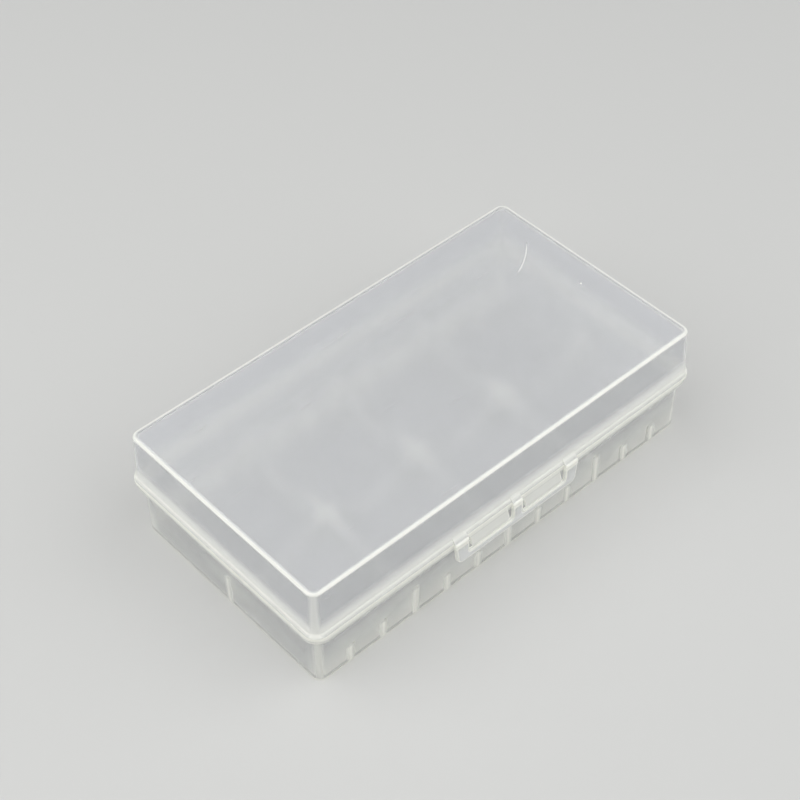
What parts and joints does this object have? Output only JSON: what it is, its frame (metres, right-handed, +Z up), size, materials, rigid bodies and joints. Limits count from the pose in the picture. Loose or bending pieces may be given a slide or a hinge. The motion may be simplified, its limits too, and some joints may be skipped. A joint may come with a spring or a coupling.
{
  "type": "battery storage case",
  "caption": "Translucent one-piece moulded storage case for large cylindrical batteries, with a film-hinged lid, cradled bays and a windowed snap latch.",
  "frame": {"origin": "middle of the closed case's bounding box, at the level of its base", "axes": "+X along the hinge line, to the right as seen from the latch; +Y from the latch to the hinge; +Z up"},
  "size_m": [0.1552, 0.0878, 0.041],
  "materials": {
    "natural_polypropylene": "frosted translucent"
  },
  "bodies": {
    "tray": {"tray": "natural_polypropylene", "lid_hinge_film_left": "natural_polypropylene", "lid_hinge_film_right": "natural_polypropylene"},
    "lid": {"lid": "natural_polypropylene", "latch_hinge_film_left": "natural_polypropylene", "latch_hinge_film_middle": "natural_polypropylene", "latch_hinge_film_right": "natural_polypropylene"},
    "latch": {"latch_flap": "natural_polypropylene"}
  },
  "joints": [
    {"name": "lid_hinge", "type": "hinge", "parent": "tray", "child": "lid", "pos_m": [0, 0.04335, 0.0222], "axis": [-1, 0, 0], "range_deg": [0, 180], "deforming": ["lid_hinge_film_left", "lid_hinge_film_right"]},
    {"name": "latch_flex", "type": "hinge", "parent": "lid", "child": "latch", "pos_m": [0, -0.0437, 0.02195], "axis": [-1, 0, 0], "range_deg": [0, 25], "stiffness_Nm_per_rad": 0.03, "deforming": ["latch_hinge_film_left", "latch_hinge_film_middle", "latch_hinge_film_right"]}
  ]
}
